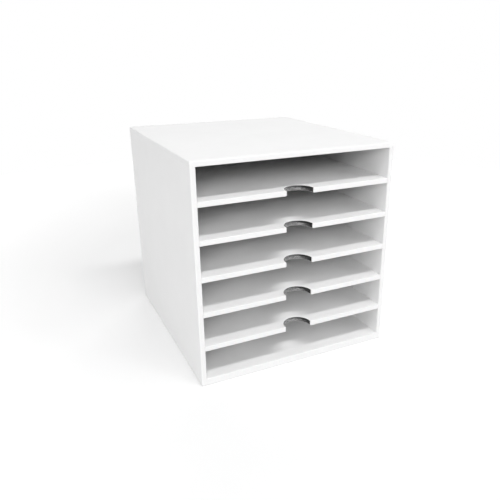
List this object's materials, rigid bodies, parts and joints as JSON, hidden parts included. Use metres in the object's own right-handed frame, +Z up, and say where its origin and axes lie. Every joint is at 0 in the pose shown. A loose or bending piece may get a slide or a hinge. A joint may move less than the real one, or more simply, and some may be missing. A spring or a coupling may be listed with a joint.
{
  "type": "paper storage shelf box",
  "caption": "Open-fronted white box of thin boards with fixed shelves, each with a round thumb notch in its front edge, for flat stacks of craft paper.",
  "frame": {"origin": "middle of the footprint, on the surface that the box stands on", "axes": "+X to the right along the open front, +Y from the front to the back, +Z up"},
  "size_m": [0.33, 0.36, 0.345],
  "materials": {
    "white_board": "white satin melamine on a chipboard core, bare on cut edges",
    "white_edging": "white satin edging strip",
    "white_back_board": "white painted hardboard",
    "dowel_wood": "plain beech",
    "staple_steel": "bright steel"
  },
  "bodies": {
    "root": {"left_side_panel": "white_board", "right_side_panel": "white_board", "top_panel": "white_board", "bottom_panel": "white_board", "back_panel": "white_back_board", "shelf_1": "white_board", "shelf_2": "white_board", "shelf_3": "white_board", "shelf_4": "white_board", "shelf_5": "white_board", "left_side_edge_band": "white_edging", "right_side_edge_band": "white_edging", "top_front_edge_band": "white_edging", "top_left_edge_band": "white_edging", "top_right_edge_band": "white_edging", "bottom_front_edge_band": "white_edging", "bottom_left_edge_band": "white_edging", "bottom_right_edge_band": "white_edging", "shelf_1_left_edge_band": "white_edging", "shelf_1_right_edge_band": "white_edging", "shelf_2_left_edge_band": "white_edging", "shelf_2_right_edge_band": "white_edging", "shelf_3_left_edge_band": "white_edging", "shelf_3_right_edge_band": "white_edging", "shelf_4_left_edge_band": "white_edging", "shelf_4_right_edge_band": "white_edging", "shelf_5_left_edge_band": "white_edging", "shelf_5_right_edge_band": "white_edging", "top_dowels": "dowel_wood", "bottom_dowels": "dowel_wood", "back_panel_staples": "staple_steel"}
  },
  "joints": []
}
